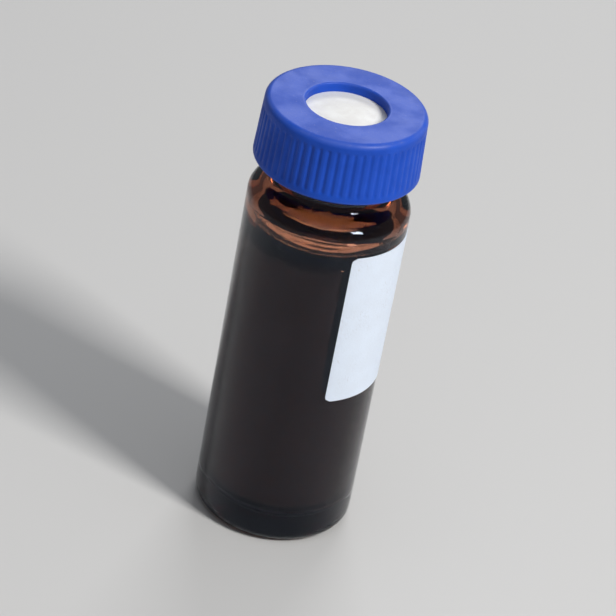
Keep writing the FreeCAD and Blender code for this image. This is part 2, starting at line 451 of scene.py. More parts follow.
def turned(name: str, points: Sequence[Point], segments: int) -> bpy.types.Object:
    """Turns an outline about the axis into a closed mesh.

    Args:
        name: The new object's name.
        points: The outline, with the solid on its left. It starts and ends on the axis, or closes
            on itself without its first point being repeated.
        segments: How many faces go round.

    Returns:
        The new object.
    """
    vertices: list[tuple[float, float, float]] = []
    rings: list[list[int]] = []
    for radius, z in points:
        if radius < SAME_LENGTH:
            rings.append([len(vertices)] * segments)
            vertices.append((0.0, 0.0, z))
            continue
        rings.append(list(range(len(vertices), len(vertices) + segments)))
        for step in range(segments):
            angle = FULL_TURN * step / segments
            vertices.append((radius * math.cos(angle), radius * math.sin(angle), z))
    if points[0][0] > SAME_LENGTH:
        rings.append(rings[0])
    faces = []
    for low, high in zip(rings, rings[1:]):
        for step in range(segments):
            after = (step + 1) % segments
            corners = [low[step], low[after], high[after], high[step]]
            faces.append(list(dict.fromkeys(corners)))
    return new_piece(name, vertices, faces)


def keep_edges(piece: bpy.types.Object) -> None:
    """Leaves a piece's sharp edges crisp."""
    piece.data.set_sharp_from_angle(angle=math.radians(CRISP_DEGREES))


def paint(piece: bpy.types.Object, name: str, rule: Callable[[Vector], float]) -> None:
    """Stores a number on each point of a piece.

    Args:
        piece: The piece.
        name: The attribute's name.
        rule: Gives the number for a place in millimetres.
    """
    attribute = piece.data.attributes.new(name, "FLOAT", "POINT")
    attribute.data.foreach_set("value", [rule(vertex.co / MM) for vertex in piece.data.vertices])


# ---------------------------------------------------------------------------------------------
# Shaping trees
# ---------------------------------------------------------------------------------------------


class ShapingTrees:
    """The Geometry Nodes trees, each built once."""

    def __init__(self) -> None:
        """Builds every tree."""
        self.thread = Shaping(self._thread())
        self.ribs = Shaping(self._ribs())
        self.print = Shaping(self._print())
        self.marks = Shaping(self._marks())

    @staticmethod
    def _finish(maker: GroupMaker, geometry: Socket) -> bpy.types.NodeTree:
        """Ends a tree with real geometry and its material.

        Args:
            maker: The tree's maker.
            geometry: What the tree has made so far.

        Returns:
            The finished tree.
        """
        realize = maker.node("GeometryNodeRealizeInstances")
        dress = maker.node("GeometryNodeSetMaterial")
        maker.link(geometry, realize.inputs[0])
        maker.link(realize.outputs[0], dress.inputs[0])
        maker.link(maker.add_input("Finish", "Material"), dress.inputs["Material"])
        maker.add_output("Geometry", "Geometry", dress.outputs[0])
        return maker.tree

    @staticmethod
    def _moved_radially(maker: TreeMaker, mesh: Socket, outward: Value) -> Socket:
        """Moves each point of a mesh away from the axis.

        Args:
            maker: The tree's maker.
            mesh: The geometry.
            outward: How far each point goes, in metres.

        Returns:
            The moved geometry.
        """
        x, y, z = maker.split(maker.node("GeometryNodeInputPosition").outputs[0])
        radius = (x * x + y * y).math("SQRT").math("MAXIMUM", LEAST_RADIUS)
        grow = (radius + outward) / radius
        move = maker.node("GeometryNodeSetPosition")
        maker.link(mesh, move.inputs["Geometry"])
        maker.link(maker.join(x * grow, y * grow, z), move.inputs["Position"])
        return move.outputs[0]

    @staticmethod
    def _angle_turns(maker: TreeMaker) -> tuple[Value, Value]:
        """How far round each point is, in turns from +X, and its height."""
        x, y, z = maker.split(maker.node("GeometryNodeInputPosition").outputs[0])
        return y.math("ARCTAN2", x) / FULL_TURN, z

    def _thread(self) -> bpy.types.NodeTree:
        """A helical ridge that rises from the points whose "threaded" number is 1.

        Returns:
            The finished tree.
        """
        maker = GroupMaker("thread ridge", "GeometryNodeTree")
        mesh = maker.add_input("Geometry", "Geometry")
        pitch = maker.add_number("Pitch", 0.0018)
        base = maker.add_number("Height at no turns", 0.028)
        first = maker.add_number("First turn", 0.0)
        last = maker.add_number("Last turn", 1.4)
        depth = maker.add_number("Depth", 0.0004)
        root = maker.add_number("Root width", 0.001)
        crest = maker.add_number("Crest width", 0.00045)
        fade = maker.add_number("Run-out", 0.12)
        named = maker.node("GeometryNodeInputNamedAttribute", data_type="FLOAT")
        named.inputs["Name"].default_value = "threaded"
        turn, z = self._angle_turns(maker)
        rise = (z - base) / pitch
        whole = (rise - turn).math("ROUND")
        along = whole + turn
        off = ((rise - along) * pitch).math("ABSOLUTE")
        flank = ((root / 2.0 - off) / ((root - crest) / 2.0)).clamped()
        start = along.smooth_step(first, first + fade)
        stop = along.smooth_step(last - fade, last).inverted()
        outward = flank * depth * start * stop * maker.value(named.outputs[0])
        return self._finish(maker, self._moved_radially(maker, mesh, outward))

    def _ribs(self) -> bpy.types.NodeTree:
        """Round-bottomed upright grooves, evenly spaced, where the "ribbed" number is above 0.

        Returns:
            The finished tree.
        """
        maker = GroupMaker("rib grooves", "GeometryNodeTree")
        mesh = maker.add_input("Geometry", "Geometry")
        count = maker.add_number("Count", 60.0)
        skirt = maker.add_number("Skirt radius", 0.0057)
        depth = maker.add_number("Depth", 0.00012)
        round_radius = maker.add_number("Groove radius", 0.00022)
        named = maker.node("GeometryNodeInputNamedAttribute", data_type="FLOAT")
        named.inputs["Name"].default_value = "ribbed"
        turn, _ = self._angle_turns(maker)
        share = turn * count
        off = (share - share.math("ROUND")) * skirt * FULL_TURN / count
        bottom = (round_radius * round_radius - off * off).math("MAXIMUM", 0.0).math("SQRT")
        groove = (bottom - (round_radius - depth)).math("MAXIMUM", 0.0)
        inward = groove * maker.value(named.outputs[0]) * -1.0
        return self._finish(maker, self._moved_radially(maker, mesh, inward))

    @staticmethod
    def _wrapped(maker: TreeMaker, sheet: Socket, radius: Value, thickness: Value) -> Socket:
        """Lays a flat sheet round the barrel as a closed film.

        Args:
            maker: The tree's maker.
            sheet: Flat faces whose X is the way round, from +X, and whose Z is the height.
            radius: The barrel's radius.
            thickness: The film's thickness, half of it sunk under the glass's skin.

        Returns:
            The closed film.
        """
        normal = maker.node("ShaderNodeCombineXYZ")
        normal.inputs["Y"].default_value = -1.0
        extrude = maker.node("GeometryNodeExtrudeMesh", mode="FACES")
        extrude.inputs["Individual"].default_value = False
        maker.link(sheet, extrude.inputs["Mesh"])
        maker.link(normal.outputs[0], extrude.inputs["Offset"])
        maker.link(thickness, extrude.inputs["Offset Scale"])
        back = maker.node("GeometryNodeFlipFaces")
        maker.link(sheet, back.inputs[0])
        both = maker.node("GeometryNodeJoinGeometry")
        maker.link(extrude.outputs["Mesh"], both.inputs[0])
        maker.link(back.outputs[0], both.inputs[0])
        weld = maker.node("GeometryNodeMergeByDistance")
        weld.inputs["Distance"].default_value = WELD_DISTANCE
        maker.link(both.outputs[0], weld.inputs["Geometry"])
        x, y, z = maker.split(maker.node("GeometryNodeInputPosition").outputs[0])
        angle = x / radius
        reach = radius - y
        around = maker.join(angle.math("COSINE") * reach, angle.math("SINE") * reach, z)
        move = maker.node("GeometryNodeSetPosition")
        maker.link(weld.outputs[0], move.inputs["Geometry"])
        maker.link(around, move.inputs["Position"])
        return move.outputs[0]

    def _print(self) -> bpy.types.NodeTree:
        """A film of fired ink laid round the barrel.

        Returns:
            The finished tree.
        """
        maker = GroupMaker("fired film", "GeometryNodeTree")
        sheet = maker.add_input("Geometry", "Geometry")
        radius = maker.add_number("Barrel radius", 0.0058)
        thickness = maker.add_number("Thickness", 0.00004)
        return self._finish(maker, self._wrapped(maker, sheet, radius, thickness))

    def _marks(self) -> bpy.types.NodeTree:
        """A ladder of level marks, a long one after each short one, laid round the barrel.

        Returns:
            The finished tree.
        """
        maker = GroupMaker("fill marks", "GeometryNodeTree")
        mark = maker.add_input("Geometry", "Geometry")
        radius = maker.add_number("Barrel radius", 0.0058)
        thickness = maker.add_number("Thickness", 0.00004)
        count = maker.add_input("Count", "Int", 6)
        start = maker.add_number("Start along barrel", 0.003)
        low = maker.add_number("First height", 0.005)
        step = maker.add_number("Step", 0.0034)
        short = maker.add_number("Short share", 0.6)
        column = maker.node("GeometryNodeMeshLine", mode="OFFSET")
        zero = maker.value(maker.node("ShaderNodeValue").outputs[0])
        maker.link(count, column.inputs["Count"])
        maker.link(maker.join(start, zero, low), column.inputs["Start Location"])
        maker.link(maker.join(zero, zero, step), column.inputs["Offset"])
        index = maker.value(maker.node("GeometryNodeInputIndex").outputs[0])
        odd = index.math("MODULO", 2.0)
        length = odd * short.inverted() + short
        one = zero + 1.0
        copy = maker.node("GeometryNodeInstanceOnPoints")
        maker.link(column.outputs[0], copy.inputs["Points"])
        maker.link(mark, copy.inputs["Instance"])
        maker.link(maker.join(length, one, one), copy.inputs["Scale"])
        solid = maker.node("GeometryNodeRealizeInstances")
        maker.link(copy.outputs[0], solid.inputs[0])
        return self._finish(maker, self._wrapped(maker, solid.outputs[0], radius, thickness))


# ---------------------------------------------------------------------------------------------
# Finishes
# ---------------------------------------------------------------------------------------------


class Effect(Enum):
    """The surface effects that several finishes share."""

    GRAIN = "fine grain"
    CLOUD = "soft cloud"
    SCRATCHES = "handling scratches"
    DUST = "settled dust"


class SharedEffects:
    """Builds each shared effect once, as a shader node group."""

    def __init__(self) -> None:
        """Builds every group."""
        self.groups = {
            Effect.GRAIN: self._grain(),
            Effect.CLOUD: self._cloud(),
            Effect.SCRATCHES: self._scratches(),
            Effect.DUST: self._dust(),
        }

    @staticmethod
    def _noise(maker: TreeMaker, place: Socket, scale: Value, detail: float, rough: float) -> Value:
        """Adds a noise texture.

        Args:
            maker: The tree's maker.
            place: The coordinates it reads.
            scale: How fine it is.
            detail: How many finer layers it has.
            rough: How much each finer layer counts.

        Returns:
            Its factor.
        """
        noise = maker.node("ShaderNodeTexNoise")
        noise.inputs["Detail"].default_value = detail
        noise.inputs["Roughness"].default_value = rough
        maker.link(place, noise.inputs["Vector"])
        maker.link(scale, noise.inputs["Scale"])
        return maker.value(noise.outputs["Fac"])

    def _grain(self) -> bpy.types.NodeTree:
        """A fine moulded or fired grain: a height and a speckle mask.

        Returns:
            The group.
        """
        maker = GroupMaker(Effect.GRAIN.value, "ShaderNodeTree")
        place = maker.add_input("Place", "Vector")
        size = maker.add_number("Grains per mm", 6.0)
        contrast = maker.add_number("Speckle", 0.5)
        fine = self._noise(maker, place, size, detail=3.0, rough=0.6)
        coarse = self._noise(maker, place, size / 5.0, detail=2.0, rough=0.5)
        height = fine * 0.7 + coarse * 0.3
        speckle = fine.smooth_step(0.62, 0.74) * contrast
        maker.add_output("Height", "Float", height)
        maker.add_output("Speckle", "Float", speckle)
        return maker.tree

    def _cloud(self) -> bpy.types.NodeTree:
        """A soft unevenness, as of wiped or slowly cooled surfaces, from 0 to 1.

        Returns:
            The group.
        """
        maker = GroupMaker(Effect.CLOUD.value, "ShaderNodeTree")
        place = maker.add_input("Place", "Vector")
        size = maker.add_number("Patches per mm", 0.3)
        wide = self._noise(maker, place, size, detail=4.0, rough=0.55)
        maker.add_output("Mask", "Float", wide.smooth_step(0.36, 0.66))
        return maker.tree

    def _scratches(self) -> bpy.types.NodeTree:
        """Hairline scratches from handling, as a mask.

        Returns:
            The group.
        """
        maker = GroupMaker(Effect.SCRATCHES.value, "ShaderNodeTree")
        place = maker.add_input("Place", "Vector")
        size = maker.add_number("Bands per mm", 1.2)
        amount = maker.add_number("Amount", 0.5)
        warp = maker.node("ShaderNodeTexNoise")
        warp.inputs["Scale"].default_value = 0.4
        maker.link(place, warp.inputs["Vector"])
        x, y, z = maker.split(place)
        wx, wy, _ = maker.split(warp.outputs["Color"])
        leaning = maker.join(x * 0.9 + z * 0.5 + wx, y * 0.9 + wy, z * 0.12 + x * 0.1)
        fine = self._noise(maker, leaning, size * 6.0, detail=1.0, rough=0.4)
        line = (fine - 0.5).math("ABSOLUTE").smooth_step(0.012, 0.002)
        patch = self._noise(maker, place, size * 0.35, detail=2.0, rough=0.5)
        mask = line * patch.smooth_step(0.52, 0.66) * amount
        maker.add_output("Mask", "Float", mask)
        return maker.tree

    def _dust(self) -> bpy.types.NodeTree:
        """A thin film of dust where a surface faces up, as a mask.

        Returns:
            The group.
        """
        maker = GroupMaker(Effect.DUST.value, "ShaderNodeTree")
        place = maker.add_input("Place", "Vector")
        facing = maker.add_input("Normal", "Vector")
        amount = maker.add_number("Amount", 0.2)
        size = maker.add_number("Specks per mm", 3.0)
        _, _, up = maker.split(facing)
        film = self._noise(maker, place, size / 6.0, detail=3.0, rough=0.6).smooth_step(0.4, 0.75)
        specks = self._noise(maker, place, size * 2.0, detail=1.0, rough=0.4)
        settled = film * 0.35 + specks.smooth_step(0.70, 0.76)
        mask = settled * up.smooth_step(0.35, 0.95) * amount
        maker.add_output("Mask", "Float", mask.clamped())
        return maker.tree


class MaterialMaker(TreeMaker):
    """Builds one material round a Principled shader."""

    def __init__(self, name: str, effects: SharedEffects) -> None:
        """Starts a material.

        Args:
            name: The material's name.
            effects: The shared effects it may place.
        """
        self.material = bpy.data.materials.new(name)
        self.material.use_nodes = True
        super().__init__(self.material.node_tree)
        self.effects = effects
        self.tree.nodes.clear()
        self.output = self.node("ShaderNodeOutputMaterial")
        self.shader = self.node("ShaderNodeBsdfPrincipled")
        self.link(self.shader.outputs[0], self.output.inputs["Surface"])
        source = self.node("ShaderNodeTexCoord")
        scale = self.node("ShaderNodeMapping")
        scale.inputs["Scale"].default_value = (1 / MM, 1 / MM, 1 / MM)
        self.link(source.outputs["Object"], scale.inputs["Vector"])
        self.place = scale.outputs[0]
        self.facing = self.node("ShaderNodeNewGeometry").outputs["Normal"]

    def set(self, **sockets: object) -> None:
        """Sets the shader's own sockets, named with _ for each space."""
        for name, given in sockets.items():
            self.shader.inputs[name.replace("_", " ")].default_value = given

    def colour(self, source: Socket) -> None:
        """Feeds the base colour."""
        self.link(source, self.shader.inputs["Base Color"])

    def roughness(self, source: Value) -> None:
        """Feeds the roughness."""
        self.link(source, self.shader.inputs["Roughness"])

    def absorb(self, loss_per_mm: Colour) -> None:
        """Tints light by the length of its way through the piece.

        Args:
            loss_per_mm: How fast red, green and blue light are lost, per millimetre.
        """
        strongest = max(loss_per_mm)
        tint = self.node("ShaderNodeVolumeAbsorption")
        tint.inputs["Color"].default_value = (*(1 - loss / strongest for loss in loss_per_mm), 1)
        tint.inputs["Density"].default_value = strongest / MM
        self.link(tint.outputs[0], self.output.inputs["Volume"])

    def effect(
        self, effect: Effect, place: Socket | None = None, **inputs: float
    ) -> bpy.types.Node:
        """Places a shared effect.

        Args:
            effect: Which one.
            place: The coordinates it reads, if not the object's own in millimetres.
            inputs: Its other inputs by name, with _ for each space.

        Returns:
            The group's node.
        """
        node = self.node("ShaderNodeGroup")
        node.node_tree = self.effects.groups[effect]
        self.link(place or self.place, node.inputs["Place"])
        if "Normal" in node.inputs:
            self.link(self.facing, node.inputs["Normal"])
        for name, given in inputs.items():
            node.inputs[name.replace("_", " ")].default_value = given
        return node

    def mask(self, effect: Effect, **inputs: float) -> Value:
        """Places a shared effect on the object's own coordinates and gives its mask."""
        return self.value(self.effect(effect, **inputs).outputs["Mask"])

    def stretched(self, scale: tuple[float, float, float]) -> Socket:
        """Stretches the object's coordinates in millimetres.

        Args:
            scale: 1 over the stretch along each axis.

        Returns:
            The stretched coordinates.
        """
        node = self.node("ShaderNodeMapping")
        node.inputs["Scale"].default_value = scale
        self.link(self.place, node.inputs["Vector"])
        return node.outputs[0]

    def mixed(
        self, mask: "Socket | Value", low: "Socket | Colour", high: Colour
    ) -> Socket:
        """A colour that goes from low to high with a mask.

        Args:
            mask: From 0 to 1.
            low: The colour, or a socket that gives it, at 0.
            high: The colour at 1.

        Returns:
            The mixed colour.
        """
        node = self.node("ShaderNodeMix", data_type="RGBA")
        self.link(mask, node.inputs["Factor"])
        if isinstance(low, bpy.types.NodeSocket):
            self.link(low, node.inputs[MIX_LOW])
        else:
            node.inputs[MIX_LOW].default_value = (*low, 1.0)
        node.inputs[MIX_HIGH].default_value = (*high, 1.0)
        return node.outputs[MIX_RESULT]

    def relief(self, height: "Socket | Value", depth: float) -> None:
        """Adds a bump.

        Args:
            height: The height from 0 to 1.
            depth: How deep it is, in millimetres.
        """
        node = self.node("ShaderNodeBump")
        node.inputs["Distance"].default_value = depth * MM
        self.link(height, node.inputs["Height"])
        self.link(node.outputs[0], self.shader.inputs["Normal"])

    def attribute(self, name: str) -> Value:
        """A number stored on the mesh."""
        node = self.node("ShaderNodeAttribute", attribute_name=name)
        return self.value(node.outputs["Fac"])


@dataclass(frozen=True)
class AmberGlass:
    """Brown drawn glass: tinted through its thickness, faintly wavy along the draw, with a painted
    reflection that dims its reflections and tints them blue.
    """

    name: str = "amber_glass"
    loss_per_mm: Colour = (0.44, 0.82, 1.08)
    refraction: float = 1.52
    # Specular tint of the glass: a painted reflection that dims its reflections and tints them
    # blue, as of blue surroundings.
    painted_reflection_tint: Colour = (0.5, 0.58, 0.75)
    smooth: float = 0.012
    wiped: float = 0.05
    scratched: float = 0.25
    draw: tuple[float, float, float] = (1.0, 1.0, 0.12)
    wave_depth: float = 0.012

    def material(self, effects: SharedEffects) -> bpy.types.Material:
        """Builds the material.

        Args:
            effects: The shared effects.

        Returns:
            The material.
        """
        make = MaterialMaker(self.name, effects)
        make.set(IOR=self.refraction, Transmission_Weight=1.0, Base_Color=(1, 1, 1, 1))
        # Painted reflection: the specular tint dims the glass's reflections and tints them blue.
        make.set(Specular_Tint=(*self.painted_reflection_tint, 1.0))
        make.absorb(self.loss_per_mm)
        wipe = make.mask(Effect.CLOUD, Patches_per_mm=0.35)
        scratch = make.mask(Effect.SCRATCHES, Amount=0.6)
        make.roughness(wipe * (self.wiped - self.smooth) + scratch * self.scratched + self.smooth)
        drawn = make.effect(Effect.GRAIN, make.stretched(self.draw), Grains_per_mm=0.45)
        make.relief(drawn.outputs["Height"], self.wave_depth)
        return make.material


@dataclass(frozen=True)
class DarkSample:
    """A clear dark brown liquid."""

    name: str = "sample"
    loss_per_mm: Colour = (1.5, 2.6, 4.0)
    refraction: float = 1.34
    clear: Colour = (1.0, 0.97, 0.93)
    cloudy: Colour = (0.96, 0.9, 0.82)
    ripple_depth: float = 0.01

    def material(self, effects: SharedEffects) -> bpy.types.Material:
        """Builds the material.

        Args:
            effects: The shared effects.

        Returns:
            The material.
        """
        make = MaterialMaker(self.name, effects)
        make.set(IOR=self.refraction, Transmission_Weight=1.0, Roughness=0.0)
        make.absorb(self.loss_per_mm)
        cloud = make.mask(Effect.CLOUD, Patches_per_mm=0.5)
        make.colour(make.mixed(cloud, self.clear, self.cloudy))
        make.relief(cloud, self.ripple_depth)
        return make.material


@dataclass(frozen=True)
class FiredInk:
    """White ceramic ink fired onto the glass: matt, finely pitted, a little chalky."""

    name: str = "fired_white_ink"
    white: Colour = (0.73, 0.81, 0.93)
    thin: Colour = (0.62, 0.65, 0.71)
    scraped: Colour = (0.45, 0.42, 0.42)
    rough: float = 0.62
    pit_depth: float = 0.02

    def material(self, effects: SharedEffects) -> bpy.types.Material:
        """Builds the material.

        Args:
            effects: The shared effects.

        Returns:
            The material.
        """
        make = MaterialMaker(self.name, effects)
        make.set(IOR=1.5, Specular_IOR_Level=0.35)
        grain = make.effect(Effect.GRAIN, Grains_per_mm=7.0, Speckle=0.45)
        cloud = make.mask(Effect.CLOUD, Patches_per_mm=0.8)
        scratch = make.mask(Effect.SCRATCHES, Amount=0.8, Bands_per_mm=0.8)
        worn = make.mixed(cloud * 0.12, self.white, self.thin)
        pitted = make.mixed(grain.outputs["Speckle"], worn, self.thin)
        make.colour(make.mixed(scratch * 0.5, pitted, self.scraped))
        make.roughness(cloud * 0.12 + self.rough)
        make.relief(grain.outputs["Height"], self.pit_depth)
        return make.material


@dataclass(frozen=True)
class WhiteSilicone:
    """Soft white rubber with a fine moulded skin."""

    name: str = "white_silicone"
    white: Colour = (0.78, 0.79, 0.78)
    shade: Colour = (0.70, 0.68, 0.67)
    dusty: Colour = (0.5, 0.47, 0.44)
    rough: float = 0.5
    skin_depth: float = 0.015

    def material(self, effects: SharedEffects) -> bpy.types.Material:
        """Builds the material.

        Args:
            effects: The shared effects.

        Returns:
            The material.
        """
        make = MaterialMaker(self.name, effects)
        make.set(IOR=1.42, Sheen_Weight=0.08, Sheen_Roughness=0.5)
        grain = make.effect(Effect.GRAIN, Grains_per_mm=9.0, Speckle=0.25)
        cloud = make.mask(Effect.CLOUD, Patches_per_mm=0.9)
        dust = make.mask(Effect.DUST, Amount=0.4, Specks_per_mm=5.0)
        soft = make.mixed(cloud * 0.4, self.white, self.shade)
        speckled = make.mixed(grain.outputs["Speckle"], soft, self.shade)
        make.colour(make.mixed(dust, speckled, self.dusty))
        make.roughness(cloud * 0.15 + self.rough)
        make.relief(grain.outputs["Height"], self.skin_depth)
        return make.material


@dataclass(frozen=True)
class RedFacing:
    """The thin hard film on the septum's glass side, brick red and slightly waxy."""

    name: str = "red_ptfe"
    red: Colour = (0.56, 0.10, 0.07)
    dull: Colour = (0.40, 0.07, 0.05)
    scraped: Colour = (0.7, 0.3, 0.25)
    rough: float = 0.38
    skin_depth: float = 0.008

    def material(self, effects: SharedEffects) -> bpy.types.Material:
        """Builds the material.

        Args:
            effects: The shared effects.

        Returns:
            The material.
        """
        make = MaterialMaker(self.name, effects)
        make.set(IOR=1.36)
        grain = make.effect(Effect.GRAIN, Grains_per_mm=10.0, Speckle=0.2)
        cloud = make.mask(Effect.CLOUD, Patches_per_mm=0.7)
        scratch = make.mask(Effect.SCRATCHES, Amount=0.7)
        waxy = make.mixed(cloud * 0.6, self.red, self.dull)
        make.colour(make.mixed(scratch * 0.5, waxy, self.scraped))
        make.roughness(cloud * 0.1 + self.rough)
        make.relief(grain.outputs["Height"], self.skin_depth)
        return make.material


@dataclass(frozen=True)
class BluePolypropylene:
    """Moulded blue plastic: satin, with a fine grain, lighter and shinier on its edges, from
    rubbing and from a painted highlight.
    """

    name: str = "blue_polypropylene"
    blue: Colour = (0.010, 0.076, 0.52)
    deep: Colour = (0.008, 0.062, 0.44)
    # Lighter edge colour: partly rubbed wear, partly a painted highlight on the edges.
    rubbed_and_highlight: Colour = (0.09, 0.16, 0.60)
    dusty: Colour = (0.32, 0.34, 0.45)
    rough: float = 0.42
    polish: float = 0.18
    grain_depth: float = 0.012

    def material(self, effects: SharedEffects) -> bpy.types.Material:
        """Builds the material.

        Args:
            effects: The shared effects.

        Returns:
            The material.
        """
        make = MaterialMaker(self.name, effects)
        make.set(IOR=1.49, Specular_IOR_Level=0.2)
        grain = make.effect(Effect.GRAIN, Grains_per_mm=8.0, Speckle=0.25)
        cloud = make.mask(Effect.CLOUD, Patches_per_mm=0.45)
        scratch = make.mask(Effect.SCRATCHES, Amount=0.7)
        dust = make.mask(Effect.DUST, Amount=0.22)
        speckle = make.value(grain.outputs["Speckle"])
        # Edge mask with scratches: wear, and on the edges also a painted highlight; it lightens the
        # colour and lowers the roughness.
        wear_and_highlight = (make.attribute("edge") * (cloud * 0.7 + 0.3) + scratch * 0.6).clamped()
        mottled = make.mixed(cloud * 0.8 + speckle * 0.2, self.blue, self.deep)
        # Edges lightened: rubbed wear and a painted highlight.
        worn = make.mixed(wear_and_highlight * 0.55, mottled, self.rubbed_and_highlight)
        make.colour(make.mixed(dust, worn, self.dusty))
        make.roughness(cloud * 0.10 + dust * 0.3 - wear_and_highlight * self.polish + self.rough)
        make.relief(grain.outputs["Height"], self.grain_depth)
        return make.material


@dataclass(frozen=True)
class PaleFloor:
    """The plain floor that the vial stands on."""

    name: str = "pale_floor"
    tone: Colour = (0.60, 0.60, 0.60)

    def material(self, effects: SharedEffects) -> bpy.types.Material:
        """Builds the material.

        Args:
            effects: The shared effects.

        Returns:
            The material.
        """
        make = MaterialMaker(self.name, effects)
        make.set(Base_Color=(*self.tone, 1.0), Roughness=0.75, Specular_IOR_Level=0.2)
        return make.material


@dataclass(frozen=True)
class Finishes:
    """Every material of the scene."""

    glass: bpy.types.Material
    sample: bpy.types.Material
    ink: bpy.types.Material
    silicone: bpy.types.Material
    facing: bpy.types.Material
    plastic: bpy.types.Material
    floor: bpy.types.Material

    @classmethod
    def build(cls) -> "Finishes":
        """Builds the shared effects and then each material.

        Returns:
            All the materials.
        """
        effects = SharedEffects()
        return cls(
            glass=AmberGlass().material(effects),
            sample=DarkSample().material(effects),
            ink=FiredInk().material(effects),
            silicone=WhiteSilicone().material(effects),
            facing=RedFacing().material(effects),
            plastic=BluePolypropylene().material(effects),
            floor=PaleFloor().material(effects),
        )


def hand_over(
    piece: bpy.types.Object, node: str, body: str, material: bpy.types.Material
) -> None:
    """Makes a finished piece stand for a CAD node.

    Args:
        piece: The finished piece.
        node: The CAD node that it replaces.
        body: The CAD body that it moves with.
        material: Its material.
    """
    piece.data.materials.clear()
    piece.data.materials.append(material)
    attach(piece, body)
    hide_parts(node)
    LOG.info("%s: %d faces, stands for %s on %s", piece.name, len(piece.data.polygons), node, body)


# ---------------------------------------------------------------------------------------------
# The vial's pieces
# ---------------------------------------------------------------------------------------------


@dataclass
class GlassBody:
    """The glass: base, barrel, shoulder, neck with its thread, and rim."""

    barrel_radius: float = field(default_factory=lambda: mount_radius("barrel"))
    height: float = field(default_factory=lambda: node_top("vial_body"))
    wall: float = 1.0
    heel: float = 1.0
    ring_width: float = 1.2
    push_up: float = 0.6
    floor_thickness: float = 1.0
    inner_heel: float = 1.6
    neck_height: float = 4.0
    neck_radius: float = 4.05
    neck_wall: float = 1.05
    slope: float = 22.0
    shoulder: float = 1.1
    neck_foot: float = 0.9
    shoulder_wall: float = 1.0
    inner_shoulder: float = 0.8
    inner_neck: float = 1.0
    rim: float = 0.3
    thread_depth: float = 0.4
    thread_turns: float = 1.35
    thread_root: float = 1.0
    thread_crest: float = 0.45
    thread_drop: float = 0.85
    segments: int = 240
    base_steps: int = 12
    heel_steps: int = 14
    rim_steps: int = 7
    spacing: float = 1.2
    thread_spacing: float = 0.06

    @property
    def bore_radius(self) -> float:
        """The radius of the inside."""
        return self.barrel_radius - self.wall

    @property
    def floor_z(self) -> float:
        """The height of the inside's floor."""
        return self.push_up + self.floor_thickness

    @property
    def foot_z(self) -> float:
        """The height where the neck starts."""
        return self.height - self.neck_height

    @property
    def thread_z(self) -> float:
        """The height of the thread's lower end."""
        return self.height - self.thread_drop - thread_pitch() * self.thread_turns

    def outside(self) -> list[list[Point]]:
        """Lays out the glass's skin.

        Returns:
            The outline's arcs, from the middle of the base up to the rim's inner edge.
        """
        ring_outer = self.barrel_radius - self.heel
        ring_inner = ring_outer - self.ring_width
        hollow = (ring_inner**2 + self.push_up**2) / (2 * self.push_up)
        half_angle = math.degrees(math.asin(ring_inner / hollow))
        lower, upper = shoulder_arcs(
            self.barrel_radius,
            self.neck_radius,
            self.foot_z,
            self.shoulder,
            self.neck_foot,
            self.slope,
        )
        rim_z = self.height - self.rim
        rim_inner = self.neck_radius - self.neck_wall + self.rim
        return [
            arc((0.0, self.push_up - hollow), hollow, 90, 90 - half_angle, self.base_steps),
            arc((ring_outer, self.heel), self.heel, 270, 360, self.heel_steps),
            lower,
            upper,
            arc((self.neck_radius - self.rim, rim_z), self.rim, 0, 90, self.rim_steps),
            arc((rim_inner, rim_z), self.rim, 90, 180, self.rim_steps),
        ]

    def inside(self) -> list[list[Point]]:
        """Lays out the glass's inside.

        Returns:
            The outline's arcs, from the neck's bore down to the middle of the inside's floor.
        """
        lower, upper = shoulder_arcs(
            self.bore_radius,
            self.neck_radius - self.neck_wall,
            self.foot_z - self.shoulder_wall,
            self.inner_shoulder,
            self.inner_neck,
            self.slope,
        )
        heel = (self.bore_radius - self.inner_heel, self.floor_z + self.inner_heel)
        return [
            upper[::-1],
            lower[::-1],
            arc(heel, self.inner_heel, 360, 270, self.base_steps),
            [(0.0, self.floor_z)],
        ]

    def build(self, trees: ShapingTrees, material: bpy.types.Material) -> bpy.types.Object:
        """Makes the glass mesh with its thread.

        Args:
            trees: The shaping trees.
            material: The piece's material.

        Returns:
            The finished piece.
        """
        points = outline(self.outside() + self.inside(), self.spacing)
        fine = points[:1]
        for before, after in zip(points, points[1:]):
            if all(abs(radius - self.neck_radius) < SAME_LENGTH for radius, _ in (before, after)):
                fine += run(before, after, self.thread_spacing)
            fine.append(after)
        piece = turned("glass_body", fine, self.segments)
        paint(piece, "threaded", self.threaded)
        return trees.thread.apply(
            piece,
            Pitch=thread_pitch() * MM,
            Height_at_no_turns=self.thread_z * MM,
            First_turn=0.0,
            Last_turn=self.thread_turns,
            Depth=self.thread_depth * MM,
            Root_width=self.thread_root * MM,
            Crest_width=self.thread_crest * MM,
            Finish=material,
        )

    def threaded(self, place: Vector) -> float:
        """1 on the neck's outer wall, 0 elsewhere."""
        on_wall = abs(math.hypot(place.x, place.y) - self.neck_radius) < NEAR_WALL
        return 1.0 if on_wall and place.z > self.foot_z else 0.0

    def dress(self, piece: bpy.types.Object, finishes: Finishes) -> None:
        """Gives the piece its material and its place."""
        hand_over(piece, "vial_body", "vial", finishes.glass)


